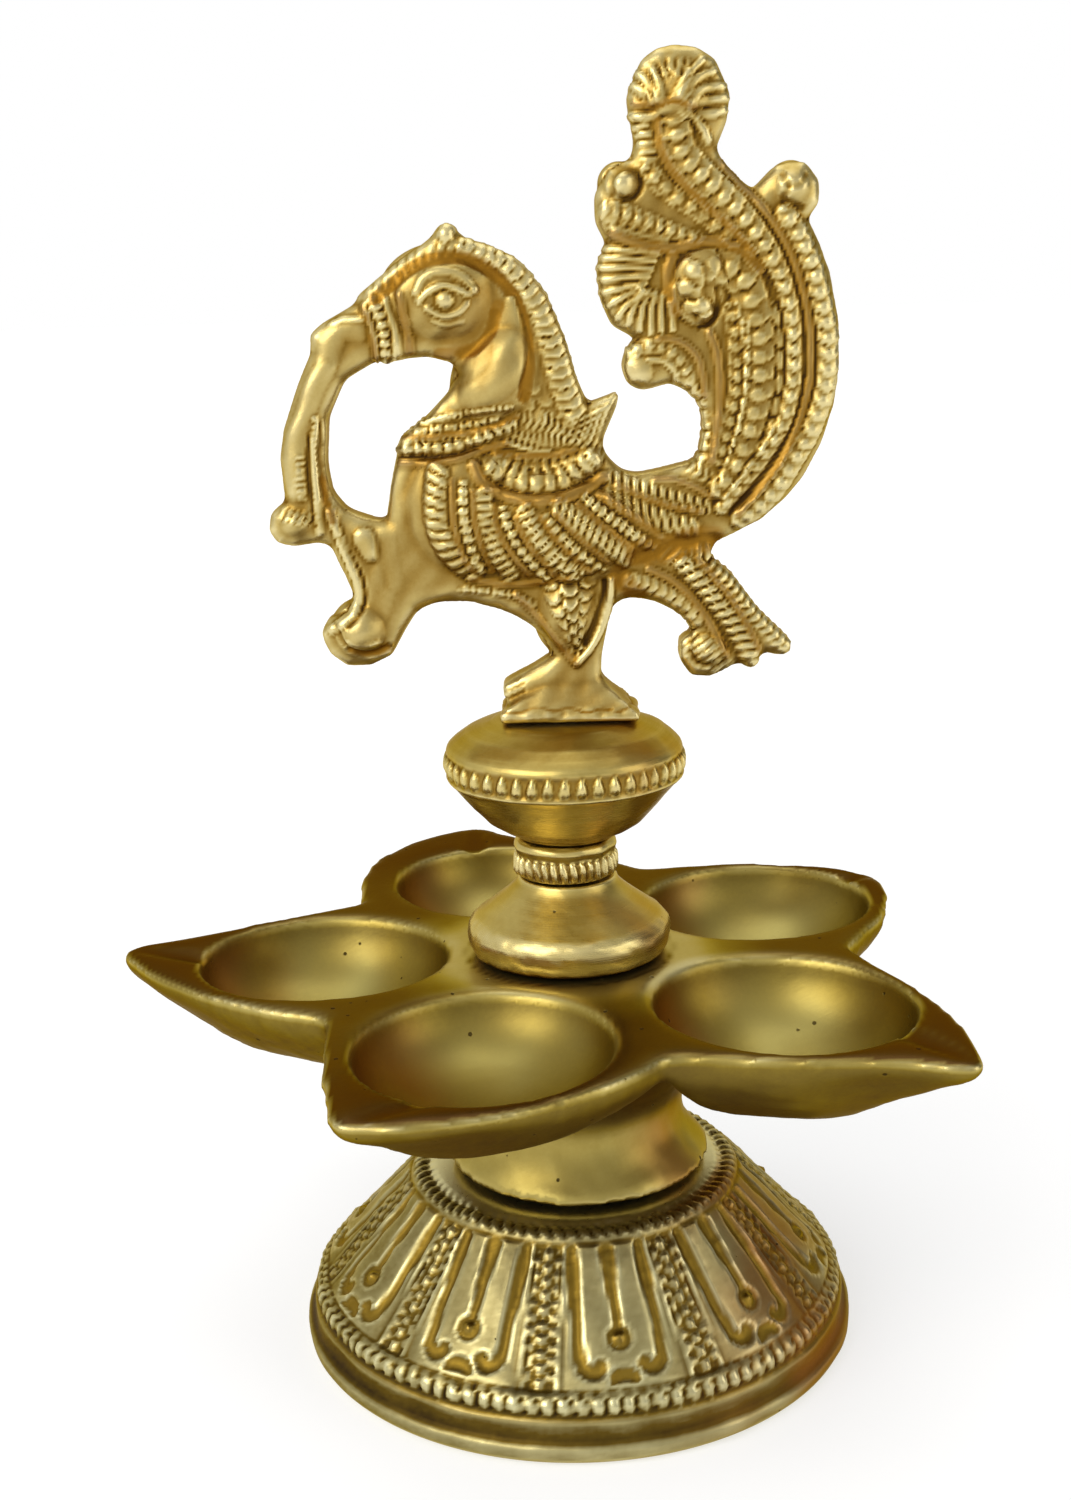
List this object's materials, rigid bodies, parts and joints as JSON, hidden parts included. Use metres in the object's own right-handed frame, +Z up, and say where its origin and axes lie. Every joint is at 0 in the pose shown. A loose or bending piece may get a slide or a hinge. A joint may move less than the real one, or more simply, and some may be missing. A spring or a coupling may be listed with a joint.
{
  "type": "standing oil lamp",
  "caption": "Brass standing oil lamp: bell base, star-shaped dish of spouted oil cups, turned stem and a bird finial that unscrews from the tie rod.",
  "frame": {"origin": "on the surface the lamp stands on, under the middle of the lamp's plan; the lamp's own axis is at X 7.8 mm, Y -4.5 mm, because the cups do not balance round it", "axes": "+Z up; -X towards the bird's beak and the left-hand cup; -Y towards the viewer of the picture"},
  "size_m": [0.1229, 0.1278, 0.1883],
  "materials": {
    "cast_brass": "cast, brushed, dark in the recesses",
    "dish_brass": "satin, tarnished",
    "turned_brass": "turned, satin",
    "steel": "plain"
  },
  "bodies": {
    "stand": {"base": "cast_brass", "washer": "steel", "hex_nut": "steel"},
    "dish": {"oil_dish": "dish_brass"},
    "rod": {"tie_rod": "steel"},
    "finial": {"stem_foot": "turned_brass", "neck_ring": "turned_brass", "stem_knob": "turned_brass", "bird": "cast_brass"}
  },
  "joints": [
    {"name": "dish_turn", "type": "hinge", "parent": "stand", "child": "dish", "pos_m": [0.0078, -0.0045, 0.0267], "axis": [0, 0, 1], "continuous": true},
    {"name": "rod_rise", "type": "slide", "parent": "stand", "child": "rod", "axis": [0, 0, 1], "range_m": [0, 0.01125]},
    {"name": "finial_turn", "type": "hinge", "parent": "rod", "child": "finial", "pos_m": [0.0078, -0.0045, 0.078], "axis": [0, 0, 1], "range_deg": [0, 3240]}
  ],
  "couplings": [
    {"joint": "rod_rise", "follows": "finial_turn", "m_per_rad": 0.00019894}
  ]
}
